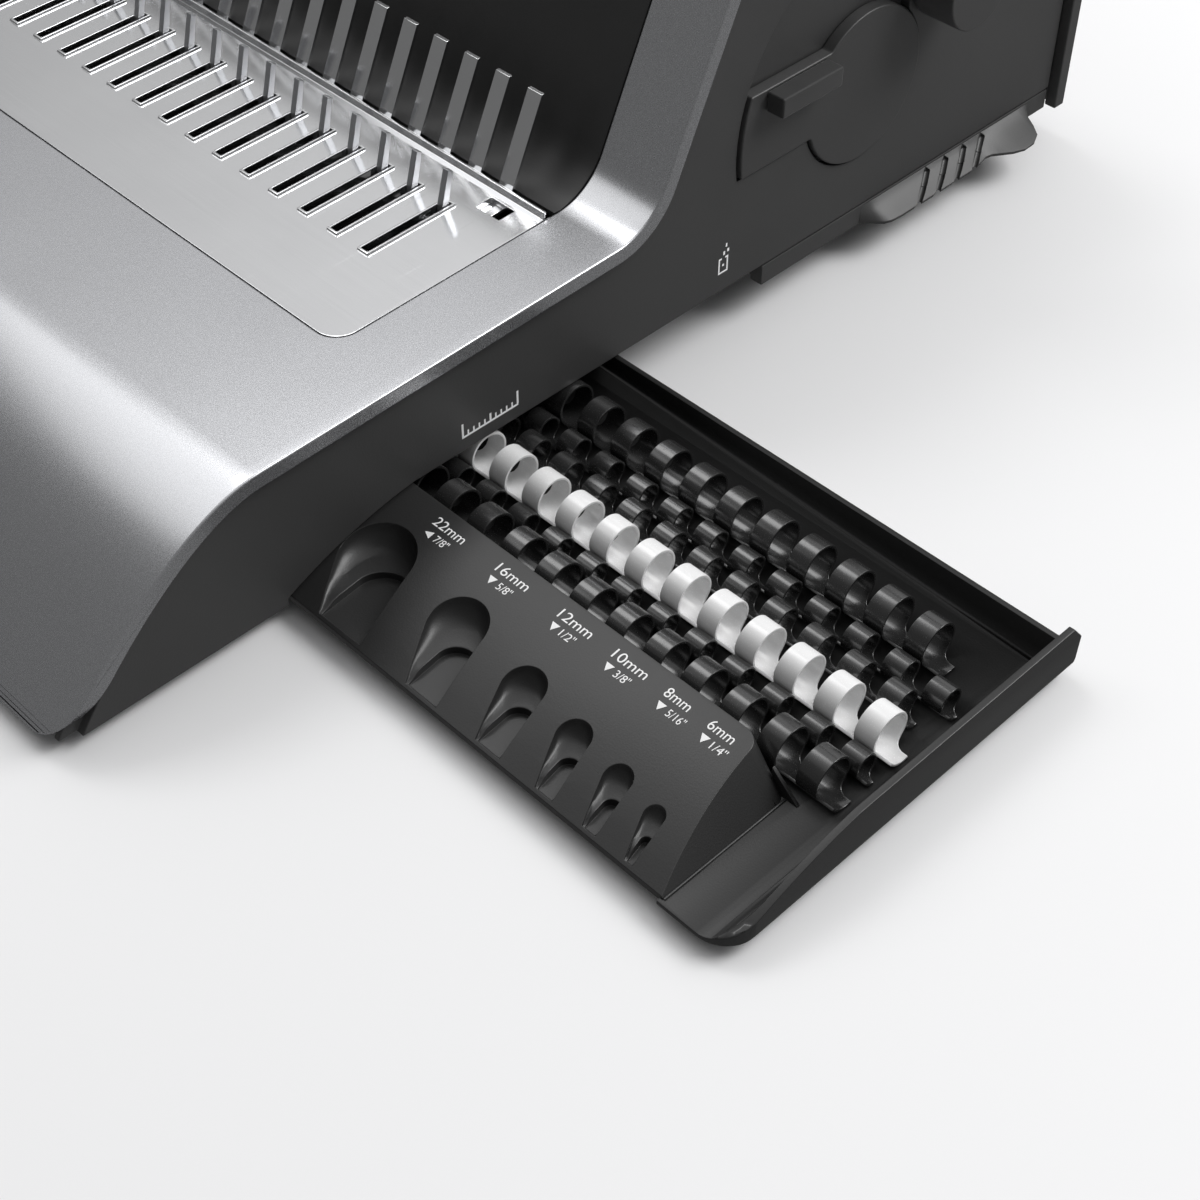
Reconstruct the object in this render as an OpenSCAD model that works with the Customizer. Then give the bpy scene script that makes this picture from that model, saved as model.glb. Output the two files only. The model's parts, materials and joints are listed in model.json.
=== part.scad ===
// Manual comb binding machine: punch tower at the back, comb plate in front,
// comb tray and chip drawer that pull out to the right.
// X runs along the width to the right, Y from front to back, Z up; the table is at zero.

/* [Body] */
// Room at each side, from the last ring to the outer face of the side panel
side_room = 51.625; // [49:0.125:57]
// Depth from the nose to the rear cover
body_d = 442; // [438:1:452]
// Height of the front edge of the tower
tower_h = 152; // [150:1:160]
// Height of the deck where the nose ends
deck_z = 60; // [59:0.5:63]
// Rise of the deck from the nose to the tower
deck_rise = 4; // [3:0.5:5]
// Length of the curved nose
nose_len = 74; // [70:1:78]
// Slope of the tower front
tower_angle = 64.5; // [62:0.5:67]
// Radius where the deck meets the tower
foot_r = 22; // [18:1:26]
// Radius of the front edge of the tower
brow_r = 10; // [9:0.5:12]
// Radius of the rear edge of the tower
rear_r = 36; // [30:1:40]
// Fall of the top from front to rear
top_fall = 14; // [10:1:16]
// Thickness of the skins
skin_t = 2.5; // [2:0.1:2.8]
// Depth of the rim on the sides
rim_h = 5.5; // [4.5:0.5:6]
// How far the rim stands out from the side panels
rim_out = 3; // [2:0.5:4]
// Dark gap between the rim and the side panels
rim_gap = 2; // [1:0.5:2.5]
// Thickness of the side panels
panel_t = 3; // [2.6:0.1:3.4]
// Thickness of the base plate
base_t = 1.4; // [1.2:0.1:1.5]
// Height of the rubber feet
foot_h = 2; // [1.6:0.1:2.1]

/* [Combs] */
// Distance from one comb ring to the next
pitch = 14.2875; // [14:0.0125:14.5]
// Number of rings on a comb
rings = 21; // [19:1:21]
// Width of a comb ring
ring_w = 7; // [6:0.5:9]
// Wall of a comb
comb_wall = 0.9; // [0.7:0.1:1.1]

/* [Binding] */
// Strip at each side of the comb plate
plate_side = 24.5; // [22.5:0.5:26.5]
// Width of the hook slots
slot_w = 3; // [2.8:0.1:4]
// Width of a hook
hook_w = 2.4; // [1.8:0.1:2.5]
// Width of a rake finger
finger_w = 6.1; // [5:0.1:7]
// Height of the rake fingers above the deck
finger_h = 26; // [20:1:28]
// Module of the gears and racks
gear_m = 1.6; // [1.5:0.05:1.65]
// Number of gear teeth
teeth = 22; // [21:1:23]
// Diameter of the binding shaft
bind_d = 10; // [8:0.5:11]
// Length of the binding lever
lever_r = 59; // [54:0.5:60]
// Radius of the binding lever's hub
hub_r = 27; // [24:0.5:28]

/* [Punch] */
// Width of a punch
punch_w = 7.8; // [6:0.1:8]
// Height of a punch
punch_h = 2.9; // [2.5:0.1:3.2]
// Width of the paper throat
throat_w = 2.5; // [2:0.1:3]
// Stroke of the punches
stroke = 9.5; // [9:0.1:9.8]
// Swing of the punch lever
punch_swing = 65; // [60:1:68]
// Diameter of the punch shaft
punch_d = 14; // [12:0.5:15]
// Length of the punch lever
punch_len = 190; // [175:1:205]
// Diameter of the guide rods
rod_d = 8; // [7:0.5:9]

/* [Tray] */
// Room in the comb tray beyond the first and last ring
tray_room = 42.75; // [40:0.25:46]
// How far the tray stands out in the modelled pose
tray_out = 171; // [150:1:175]
// Wall of the tray
tray_wall = 2; // [1.6:0.1:2.4]
// Floor of the tray
tray_floor = 1.6; // [1.4:0.1:2]
// Height of the tray wall above the table
tray_z = 20.2; // [19.6:0.1:20.4]
// Depth of the tray
tray_d = 133; // [132:0.5:134]
// Radius of the tray's front corner
tray_r = 11; // [6:0.5:13]
// Depth of the size gauge from front to back
gauge_d = 48; // [46:0.5:48.5]
// Radius of the gauge's curve
gauge_r = 143; // [130:1:160]
// Gap around the tray
tray_gap = 0.6; // [0.5:0.05:0.8]

/* [Drawer] */
// Front of the chip drawer
drawer_y = 58; // [57:0.5:60]
// Distance from the chip drawer to the rear
drawer_gap = 8; // [7:0.5:13]
// Lower edge of the chip drawer
drawer_z0 = 12.6; // [12.2:0.1:13]
// How far the pull stands out
pull_out = 13; // [9:0.5:14]

/* [Hidden] */
$fn = 48;
fit = 0.05;
span = (rings - 1) * pitch;
half_w = span / 2 + side_room;
rim_x = half_w + rim_out;
rim_t = rim_out + 1.5;
panel_x = half_w - panel_t;
nose_y = -body_d / 2;
rear_y = body_d / 2;
drawer_d = rear_y - drawer_gap - drawer_y;
table_gap = 4;
base_z = foot_h + base_t;
deck_y = nose_y + nose_len;
tray_y = deck_y + 6;
deck_len = 148.5;
tower_y = deck_y + deck_len;
frame_in = half_w - 26.5;
frame_out = frame_in + 3;
frame_inset = skin_t + fit;
plate_x = half_w - plate_side;
plate_y = tray_y + 43;
plate_rear = tower_y - 17;
ring_x = [for (i = [0:rings - 1]) i * pitch - span / 2];
finger_x = [for (i = [0:rings]) (i - 0.5) * pitch - span / 2];

silver = [0.73, 0.73, 0.75];
charcoal = [0.24, 0.24, 0.25];
black = [0.06, 0.06, 0.065];
steel = [0.6, 0.61, 0.63];
bright = [0.82, 0.83, 0.85];
rubber = [0.1, 0.1, 0.1];
white = [0.92, 0.92, 0.9];

function unit(v) = v / norm(v);
function bez(a, b, c, d, n) = [for (i = [0:n]) let (t = i / n, s = 1 - t)
  s * s * s * a + 3 * s * s * t * b + 3 * s * t * t * c + t * t * t * d];
function round_at(a, b, c, r, n) = let (u = unit(a - b), v = unit(c - b), h = acos(u * v) / 2,
  p = b + u * r / tan(h), q = b + v * r / tan(h), o = b + unit(u + v) * r / sin(h),
  a0 = atan2(p.y - o.y, p.x - o.x), a1 = atan2(q.y - o.y, q.x - o.x), w = (a1 - a0 + 540) % 360 - 180)
  [for (i = [0:n]) o + r * [cos(a0 + w * i / n), sin(a0 + w * i / n)]];
function bow(p, q, r, n) = let (u = unit(q - p), h = norm(q - p) / 2,
  o = (p + q) / 2 + [u.y, -u.x] * sqrt(r * r - h * h),
  a0 = atan2(p.y - o.y, p.x - o.x), a1 = atan2(q.y - o.y, q.x - o.x))
  [for (i = [0:n]) o + r * [cos(a0 + (a1 - a0) * i / n), sin(a0 + (a1 - a0) * i / n)]];
function side(a, b) = let (u = unit(b - a)) [u.y, -u.x];
function inset(p, d) = let (n = len(p)) [for (i = [0:n - 1]) let (
  a = side(p[max(i - 1, 0)], p[max(i, 1)]), b = side(p[min(i, n - 2)], p[min(i + 1, n - 1)]),
  m = unit(a + b)) p[i] + m * d / (m * b)];
function cut(p, i, j) = [for (k = [i:j]) p[k]];
function flip(p) = [for (k = [len(p) - 1:-1:0]) p[k]];

// Outline of the casing seen from the right, nose first
brow = [tower_y + (tower_h - deck_z - deck_rise) / tan(tower_angle), tower_h];
corner = [tower_y, deck_z + deck_rise];
tail = [rear_y, tower_h - top_fall];
heel = [rear_y, 12];
nose = bez([nose_y, table_gap], [nose_y + 6, table_gap + 12], [deck_y - 30, deck_z - 1], [deck_y, deck_z], 12);
outer = concat(nose, round_at([deck_y, deck_z], corner, brow, foot_r, 12),
  round_at(corner, brow, tail, brow_r, 8), round_at(brow, tail, heel, rear_r, 10), [heel]);
i_deck = 12;
i_brow = 34;
i_rear = 40;
i_end = 46;
function deck_at(y) = deck_z + deck_rise * (y - deck_y) / deck_len;
function top_at(y) = tower_h - top_fall * (y - brow.x) / (tail.x - brow.x);

module along_x(a, b) translate([a, 0, 0]) rotate([90, 0, 90]) linear_extrude(b - a) children();
module both_x(a, b) { along_x(a, b) children(); along_x(-b, -a) children(); }
module rod_x(a, b, y, z, r) translate([a, y, z]) rotate([0, 90, 0]) cylinder(h = b - a, r = r);
module rod_y(a, b, x, z, r) translate([x, a, z]) rotate([-90, 0, 0]) cylinder(h = b - a, r = r);
module box(a, b) translate(a) cube(b - a);
module skin(i, j, a, b) polygon(concat(cut(inset(outer, a), i, j), flip(cut(inset(outer, b), i, j))));
module field(a, b) translate(a) square(b - a);
module inside(d) intersection() {
  polygon(concat(inset(outer, d), [[rear_y - d, -20], [nose_y + d, -20]]));
  field([nose_y, table_gap], [rear_y, tower_h]);
}

// Places of the shafts and fixings, as [y, z]
bind_at = [tower_y + 100.5, 69.5];
gear_p = gear_m * teeth / 2;
rack_z = bind_at.y - gear_p;
bind_swing = 88;
hook_travel = gear_p * bind_swing * PI / 180;
bosses = [[tray_y + 61, 42], [tower_y + 26.5, 95], [rear_y - 26, 40], [rear_y - 41, 116]];
boss_r = 4;
die_t = 4;
guide_t = 4.5;
die_y = tower_y + 73.5;
throat_y = die_y + die_t;
guide_y = throat_y + throat_w;
bar_y = guide_y + guide_t + stroke + 10;
bar_t = 10;
punch_z = 105;
cam_gap = 0.3;
cam_base = stroke / (punch_swing * PI / 180);
cam_rest = 20;
punch_at = [bar_y + bar_t + cam_gap + cam_rest, 98];
plates_top = top_at(guide_y + guide_t) - skin_t - 0.6;
bush_w = 1.6;

// Casing
module base_plate() color(black) difference() {
  box([-frame_out - 1, nose_y + 8, foot_h], [frame_out + 1, rear_y - 9, base_z]);
  for (p = foot_at) translate([p.x, p.y, foot_h - 1]) cylinder(h = 4, r = 1.5);
}
foot_x = frame_in - 18;
foot_at = [[0, 0], for (x = [-foot_x, foot_x], y = [nose_y + 26, rear_y - 26]) [x, y]];
module rubber_feet() color(rubber) for (p = foot_at) translate([p.x, p.y, 0]) cylinder(h = foot_h, r = 9);

module deck_opening() translate([0, 0, deck_z / 2]) linear_extrude(tower_h) {
  field([-plate_x - 0.5 + 8, plate_y - 0.5], [plate_x + 0.5 - 8, rear_y]);
  field([-plate_x - 0.5, plate_y - 0.5 + 8], [plate_x + 0.5, rear_y]);
  for (s = [-1, 1]) translate([s * (plate_x + 0.5 - 8), plate_y - 0.5 + 8]) circle(8);
}
module nose_corner() for (s = [-1, 1]) difference() {
  box([s > 0 ? rim_x - 18 : -rim_x - 1, nose_y - 1, 0], [s > 0 ? rim_x + 1 : 18 - rim_x, deck_y, table_gap + 18]);
  rod_y(nose_y - 2, deck_y + 1, s * (rim_x - 18), table_gap + 18, 18);
}
module top_shell() color(silver) difference() {
  union() {
    along_x(-rim_x, rim_x) skin(0, i_brow, 0, skin_t);
    both_x(rim_x - rim_t, rim_x) skin(0, i_brow, 0, rim_h);
    intersection() {
      for (s = [-1, 1]) translate([s * foot_x, nose_y + 31, base_z]) cylinder(h = deck_z, r = 6);
      along_x(-rim_x, rim_x) polygon(concat(inset(outer, skin_t / 2), [[rear_y, 0], [nose_y + 8, 0]]));
    }
  }
  deck_opening();
  nose_corner();
  box([-rim_x - 1, nose_y - 9, -20], [rim_x + 1, nose_y + 20, table_gap]);
}
module panel_shape(low) difference() {
  inside(rim_h + rim_gap);
  if (low) {
    tray_mouth(tray_gap);
    translate(punch_at) circle(punch_d / 2 + 1);
  }
}
module panel_edge(low) difference() {
  skin(0, i_end, frame_inset, min(rim_h + rim_gap + 1.5, brow_r - 0.5));
  field([nose_y - 9, -20], [rear_y, table_gap]);
  if (low) tray_mouth(tray_gap);
}
module tray_mouth(g) polygon(concat([[tray_y - g, 0]],
  bow([tray_y - g, 6.2 + g], [tray_y + gauge_d, tray_z + g], gauge_r, 10),
  [[rear_y, tray_z + g], [rear_y, 0]]));
module lever_pocket(g) {
  circle(hub_r + g);
  intersection() {
    circle(lever_r + g);
    field([-lever_r - 9, -8.5 - g], [19.5 + g, lever_r + 9]);
  }
}
module panel_bosses(s) for (p = bosses) difference() {
  rod_x(s > 0 ? frame_out : -panel_x - 1, s > 0 ? panel_x + 1 : -frame_out, p.x, p.y, boss_r);
  rod_x(-half_w, half_w, p.x, p.y, 1.5 + fit);
}
pocket_floor = panel_x - 2.6;
module right_side_panel() color(charcoal) {
  along_x(panel_x, half_w) difference() {
    panel_shape(true);
    translate(bind_at) lever_pocket(0.8);
  }
  along_x(panel_x - 2.5, panel_x) panel_edge(true);
  along_x(pocket_floor + 2, panel_x) translate(bind_at) difference() {
    lever_pocket(2.4);
    lever_pocket(0.8);
  }
  along_x(pocket_floor, pocket_floor + 2) translate(bind_at) difference() {
    lever_pocket(2.4);
    circle(13);
  }
  panel_bosses(1);
}
module left_side_panel() color(charcoal) {
  along_x(-half_w, -panel_x) panel_shape(false);
  along_x(-panel_x, 2.5 - panel_x) panel_edge(false);
  panel_bosses(-1);
}
module tower_front_panel() color(black) intersection() {
  along_x(0.1 - plate_x, plate_x - 0.1) skin(i_deck, i_brow, 0.5, skin_t);
  box([-rim_x, plate_rear + 3.5, 0], [rim_x, rear_y, tower_h + 9]);
}
module top_cover() color(charcoal) difference() {
  union() {
    along_x(-rim_x, rim_x) skin(i_brow, i_rear, 0, skin_t);
    both_x(rim_x - rim_t, rim_x) skin(i_brow, i_rear, 0, rim_h);
  }
  box([-frame_in + 3, throat_y - 1.5, tower_h - 20], [frame_in - 3, guide_y + 2, tower_h + 9]);
  box([60, guide_y + 22, tower_h - 20], [160, guide_y + 26, tower_h + 9]);
}
module rear_cover() color(charcoal) {
  along_x(-rim_x, rim_x) skin(i_rear, i_end, 0, skin_t);
  both_x(rim_x - rim_t, rim_x) skin(i_rear, i_end, 0, rim_h);
}
module frame_shape(low) difference() {
  intersection() {
    polygon(concat(inset(outer, frame_inset), [[rear_y - 3, base_z], [nose_y + 3, base_z]]));
    union() {
      field([plate_y + 2, 26], [tower_y + 12, tower_h]);
      field([tower_y + 8.5, base_z], [rear_y - 8, tower_h]);
    }
  }
  field([drawer_y - 2, low ? 10 : base_z + 3], [drawer_y + drawer_d - 11, tray_z + tray_gap + 0.4]);
  translate(bind_at) circle(bind_d / 2 + 2 + fit);
  translate(punch_at) circle(punch_d / 2 + 2 + fit);
  for (p = bosses) translate(p) circle(1.7);
}
module right_side_frame() color(steel) along_x(frame_in, frame_out) frame_shape(true);
module left_side_frame() color(steel) along_x(-frame_out, -frame_in) frame_shape(false);
module panel_screws() color(bright) for (p = bosses, s = [-1, 1]) {
  rod_x(s > 0 ? frame_in - 2 : -frame_in, s > 0 ? frame_in : 2 - frame_in, p.x, p.y, 3);
  rod_x(s > 0 ? frame_in - 1 : -frame_in - 12, s > 0 ? frame_in + 12 : 1 - frame_in, p.x, p.y, 1.5);
}

// Rails
rail_x = frame_in - 3;
rail_x0 = 28 - frame_in;
drawer_x0 = 16 - frame_in;
module tray_rails() color(steel) {
  for (y = [tray_y + 21, tray_y + 108]) box([rail_x0, y, base_z], [rail_x, y + 8, table_gap - 0.1]);
  box([rail_x0, tray_y - tray_gap - 2.5, base_z], [rail_x, tray_y - tray_gap, 6]);
  box([rail_x0, tray_y + tray_d + tray_gap, base_z], [rail_x, tray_y + tray_d + tray_gap + 2, tray_z + 2]);
  box([rail_x0, tray_y + tray_d - 4, tray_z + 0.4], [rail_x, tray_y + tray_d + tray_gap + 2, tray_z + 2]);
}
tub_y = [drawer_y + 2, drawer_y + drawer_d - 15];
module drawer_rails() color(steel) for (y = [tub_y[0] - 2.6, tub_y[1] - 12]) difference() {
  union() {
    box([drawer_x0, y, base_z], [rail_x, y + 14.6, drawer_z0 - 0.1]);
    box([drawer_x0, y < 100 ? y : y + 12.6, base_z], [rail_x, y < 100 ? y + 2 : y + 14.6, tray_z - 2]);
  }
  box([drawer_x0 - 1, y + 2, base_z - 1], [rail_x + 1, y + 12.6, drawer_z0 - 1.6]);
}
rack_x = [frame_in - 13, frame_in - 7];
rack_z0 = rack_z - 7.9;
module carriage_rails() color(steel) both_x(rack_x[0] - 2, frame_in) {
  field([plate_y + 26, rack_z0 - 2.5], [bind_at.x + 47, rack_z0 - 0.1]);
}

// Binding
slot_y = [plate_rear - 49, plate_rear - 15.5];
module comb_plate() color(bright) difference() {
  union() {
    intersection() {
      along_x(-plate_x, plate_x) skin(0, 25, 0.5, skin_t);
      translate([0, 0, deck_z - 20]) linear_extrude(60) {
        field([8 - plate_x, plate_y], [plate_x - 8, plate_rear]);
        field([-plate_x, plate_y + 8], [plate_x, plate_rear]);
        for (s = [-1, 1]) translate([s * (plate_x - 8), plate_y + 8]) circle(8);
      }
    }
    box([-plate_x, plate_rear - 1.2, deck_at(plate_rear) - 1], [plate_x, plate_rear, deck_at(plate_rear) + 2]);
    for (x = ring_x) along_x(x - slot_w / 2 - 0.9, x + slot_w / 2 + 0.9) polygon([
      [slot_y[0] - 0.9, deck_at(slot_y[0]) - 1], [slot_y[0] - 0.9, deck_at(slot_y[0]) + 0.3],
      [slot_y[1] + 0.9, deck_at(slot_y[1]) + 0.3], [slot_y[1] + 0.9, deck_at(slot_y[1]) - 1]]);
  }
  for (x = ring_x) box([x - slot_w / 2, slot_y[0], deck_z - 9], [x + slot_w / 2, slot_y[1], deck_z + 19]);
  for (s = [-1, 1]) box([s * (span / 2 + 12.2) - 5.1, plate_rear - 10.7, deck_z - 9],
    [s * (span / 2 + 12.2) + 5.1, plate_rear - 4.2, deck_z + 19]);
}
function under(y, d) = [y, deck_at(y) - skin_t - fit - d];
lean = [cos(tower_angle), sin(tower_angle)];
module rake() color(bright) {
  a = plate_rear - 13;
  b = plate_rear - 0.5;
  foot = under(b, 1.2);
  along_x(-span / 2 - 12, span / 2 + 12) polygon([under(a, 0), under(a, 1.2), under(b, 1.2), under(b, 0)]);
  tip = foot + lean * (finger_h + 6) / lean.y;
  for (x = finger_x) along_x(x - finger_w / 2, x + finger_w / 2) polygon([under(b - 2, 1.2), foot + [1.3, 0],
    tip + [1.3, 0], tip, foot + lean * 1.15 / lean.y, under(b - 2, 0.05)]);
}
bar_at = [plate_rear - 21.5, plate_rear - 13.5];
module hook_bar() color(steel) {
  along_x(-rack_x[0], rack_x[0]) {
    field([bar_at[0], rack_z0], [bar_at[1], rack_z0 + 2]);
    field([bar_at[0] + 1.4, rack_z0], [bar_at[0] + 4.8, rack_z0 + 9.5]);
  }
  z = deck_at(slot_y[1]);
  y = slot_y[1] - 0.8;
  for (x = ring_x) along_x(x - hook_w / 2, x + hook_w / 2) polygon([[y - 3.6, rack_z0 + 8], [y - 0.6, rack_z0 + 8],
    [y, z + 0.5], [y + 2.4, z + 11], [y + 0.4, z + 12], [y - 2.8, z + 0.5]]);
}
tooth_p = PI * gear_m;
slack = 0.25;
tip_h = 0.85 * gear_m;
module rack_bar() {
  field([bar_at[0], rack_z0], [bind_at.x + hook_travel + 12, rack_z - 1.25 * gear_m]);
  w = tooth_p / 4 - slack / 2;
  k = tan(20);
  for (i = [-2:ceil(hook_travel / tooth_p) + 1]) translate([bind_at.x + (i + 0.5) * tooth_p, rack_z]) polygon([
    [-w - k * 1.35 * gear_m, -1.35 * gear_m], [w + k * 1.35 * gear_m, -1.35 * gear_m],
    [w - k * tip_h, tip_h], [k * tip_h - w, tip_h]]);
}
module rack_right() color(steel) along_x(rack_x[0], rack_x[1]) rack_bar();
module rack_left() color(steel) along_x(-rack_x[1], -rack_x[0]) rack_bar();
function roll(r) = let (a = acos(min(1, gear_p * cos(20) / r))) tan(a) * 180 / PI - a;
function flank(r) = 90 / teeth - slack / 4 / gear_p * 180 / PI - roll(r) + roll(gear_p);
module gear_shape() difference() {
  union() {
    circle(gear_p - 1.25 * gear_m);
    for (i = [0:teeth - 1]) rotate(i * 360 / teeth - 90) polygon(concat(
      [[gear_p - 1.5 * gear_m, -gear_m]],
      [for (k = [0:4]) let (r = gear_p * cos(20) + k / 4 * (gear_p + tip_h - gear_p * cos(20)))
        r * [cos(flank(r)), -sin(flank(r))]],
      [for (k = [4:-1:0]) let (r = gear_p * cos(20) + k / 4 * (gear_p + tip_h - gear_p * cos(20)))
        r * [cos(flank(r)), sin(flank(r))]],
      [[gear_p - 1.5 * gear_m, gear_m]]));
  }
  circle(bind_d / 2);
}
module gear_right() color(steel) along_x(rack_x[0], rack_x[1]) translate(bind_at) gear_shape();
module gear_left() color(steel) along_x(-rack_x[1], -rack_x[0]) translate(bind_at) gear_shape();
module binding_shaft() color(bright) rod_x(-frame_out - 4, pocket_floor + 1, bind_at.x, bind_at.y, bind_d / 2);
module bush_pair(at, d) for (s = [-1, 1]) difference() {
  union() {
    rod_x(s > 0 ? frame_in - 1 : -frame_out - 2, s > 0 ? frame_out + 2 : 1 - frame_in, at.x, at.y, d / 2 + 2);
    rod_x(s > 0 ? frame_in - bush_w : -frame_in, s > 0 ? frame_in : bush_w - frame_in, at.x, at.y, d / 2 + 5);
  }
  rod_x(-half_w, half_w, at.x, at.y, d / 2 + fit);
}
module binding_shaft_bushes() color(black) bush_pair(bind_at, bind_d);
lever_x = [pocket_floor + 2.2, half_w + 1.2];
module binding_lever() color(charcoal) difference() {
  union() {
    along_x(lever_x[0], lever_x[1]) translate(bind_at) {
      circle(hub_r);
      intersection() {
        circle(lever_r);
        field([-lever_r - 9, -8.5], [0, 19.5]);
      }
    }
    rod_x(pocket_floor - 8, lever_x[0] + 1, bind_at.x, bind_at.y, 11);
  }
  rod_x(-half_w, pocket_floor + 1, bind_at.x, bind_at.y, bind_d / 2);
}
module lever_pad() color(rubber) along_x(lever_x[1], lever_x[1] + 7) translate(bind_at)
  field([10 - lever_r, 12], [-hub_r + 6, 19]);

// Punch
module punch_holes(g) for (x = ring_x) box([x - punch_w / 2 - g, die_y - 9, punch_z - punch_h / 2 - g],
  [x + punch_w / 2 + g, bar_y - 0.01, punch_z + punch_h / 2 + g]);
module die_plate() color(steel) difference() {
  box([-frame_in, die_y, 92], [frame_in, throat_y, plates_top]);
  punch_holes(0.1);
}
rod_at = span / 2 + 11.2;
module punch_guide_plate() color(steel) difference() {
  box([-frame_in, guide_y, 92], [frame_in, guide_y + guide_t, plates_top]);
  punch_holes(0.1);
  for (s = [-1, 1]) rod_y(guide_y - 1, bar_y, s * rod_at, punch_z, rod_d / 2);
}
module throat_stop() color(steel) box([-frame_in, throat_y, 92], [frame_in, guide_y, 100.5]);
module guide_rods() color(bright) for (s = [-1, 1])
  rod_y(guide_y, bar_y + bar_t + 9, s * rod_at, punch_z, rod_d / 2);
module punch_bar() color(steel) difference() {
  box([-rod_at - 8, bar_y, 96], [rod_at + 8, bar_y + bar_t, 114]);
  for (s = [-1, 1]) rod_y(bar_y - 1, bar_y + bar_t + 1, s * rod_at, punch_z, rod_d / 2 + fit);
}
module punches() color(bright) for (x = ring_x) box([x - punch_w / 2, guide_y + 1.5, punch_z - punch_h / 2],
  [x + punch_w / 2, bar_y, punch_z + punch_h / 2]);
module punch_shaft() color(bright)
  rod_x(-frame_out - 5, rim_x + 13, punch_at.x, punch_at.y, punch_d / 2);
function cam_at(a) = let (p = cam_rest + cam_base * (180 - a) * PI / 180)
  [p * cos(a) + cam_base * sin(a), p * sin(a) - cam_base * cos(a)];
module cam_shape() translate(punch_at) difference() {
  polygon(concat([for (a = [205:15:400]) (punch_d / 2 + 5) * [cos(a), sin(a)]],
    [for (a = [175 - punch_swing:5:190]) cam_at(a)]));
  circle(punch_d / 2);
}
cam_x = [95, 105];
module cam_right() color(steel) along_x(cam_x[0], cam_x[1]) cam_shape();
module cam_left() color(steel) along_x(-cam_x[1], -cam_x[0]) cam_shape();
module punch_shaft_bushes() color(black) bush_pair(punch_at, punch_d);
module return_spring() color(bright) {
  r = punch_d / 2 + 4;
  for (i = [0:3]) translate([frame_out + 5 + i * 1.9, punch_at.x, punch_at.y]) rotate([0, 90, 0])
    rotate_extrude() translate([r, 0]) circle(1, $fn = 16);
  rod_x(frame_out, frame_out + 5, punch_at.x + r, punch_at.y, 1);
}
punch_tilt = 20;
arm_x = [rim_x + 8.5, rim_x + 14.5];
module punch_lever() color(charcoal) difference() {
  union() {
    rod_x(half_w + 1.5, arm_x[1], punch_at.x, punch_at.y, 15);
    along_x(arm_x[0], arm_x[1]) translate(punch_at) rotate(-punch_tilt) {
      polygon([[-11, 0], [11, 0], [8, punch_len - 2], [-8, punch_len - 2]]);
    }
  }
  rod_x(0, rim_x + 13, punch_at.x, punch_at.y, punch_d / 2);
}
module punch_grip() color(rubber) translate([(arm_x[0] + arm_x[1]) / 2, punch_at.x, punch_at.y])
  rotate([-punch_tilt, 0, 0]) difference() {
    union() {
      translate([0, 0, punch_len - 88]) cylinder(h = 76, r = 13);
      translate([0, 0, punch_len - 12]) cylinder(h = 12, r1 = 13, r2 = 9);
    }
    along_x(-3, 3) polygon([[-11, 0], [11, 0], [8, punch_len - 2], [-8, punch_len - 2]]);
  }

// Paper
guide_x = 128;
module edge_guide() color(black) {
  y = guide_y + 24;
  along_x(guide_x, guide_x + 10) polygon([[throat_y - 6, top_at(throat_y - 6) + 0.3], [y + 8, top_at(y + 8) + 0.3],
    [y + 8, top_at(y) + 6], [throat_y + 6, top_at(y) + 16], [throat_y - 6, top_at(y) + 16]]);
  along_x(guide_x + 3, guide_x + 7) field([y - 1.7, top_at(y) - skin_t - 3], [y + 1.7, top_at(y) + 2]);
  along_x(guide_x, guide_x + 10) field([y - 5, top_at(y) - skin_t - 4], [y + 5, top_at(y) - skin_t - 1]);
}

// Comb tray
tray_x = [half_w + tray_out - span - tray_room, half_w + tray_out];
comb_sizes = [22, 16, 12, 10, 8, 6];
gauge_end = tray_x[1] - 23.5;
// The spacing of two scoops is the sum of their sizes
function scoop_x(i) = i > 4 ? gauge_end - 16.6 : scoop_x(i + 1) - comb_sizes[i] - comb_sizes[i + 1];
module scoop(s, x) {
  r = 0.47 * s + 0.2;
  c = [x, tray_y + 11 + 0.74 * s];
  f = [x + (c.y - tray_y - 2.6) * tan(17), tray_y + 2.6];
  u = unit(f - c);
  v = [-u.y, u.x];
  w = 0.475 * s - 1.5;
  h = 7 + 0.25 * s;
  translate([c.x, c.y, 6]) cylinder(h = 30, r = 0.78 * r);
  translate([c.x, c.y, h]) cylinder(h = 8, r1 = 0.78 * r, r2 = r);
  translate([c.x, c.y, h + 7.99]) cylinder(h = 20, r = r);
  translate([0, 0, 6]) linear_extrude(30) polygon([c + v * 0.78 * r, f + [w, 0], f - [w, 0], c - v * 0.78 * r]);
}
module tray_end_shape() polygon(concat([[tray_y + 3, table_gap]],
  bow([tray_y + 1, 6.4], [tray_y + gauge_d, tray_z], gauge_r, 10),
  [[tray_y + 137.5, tray_z], [tray_y + 141.9, 14.7], [tray_y + 141.5, 6], [tray_y + 139.6, table_gap]]));
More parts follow.
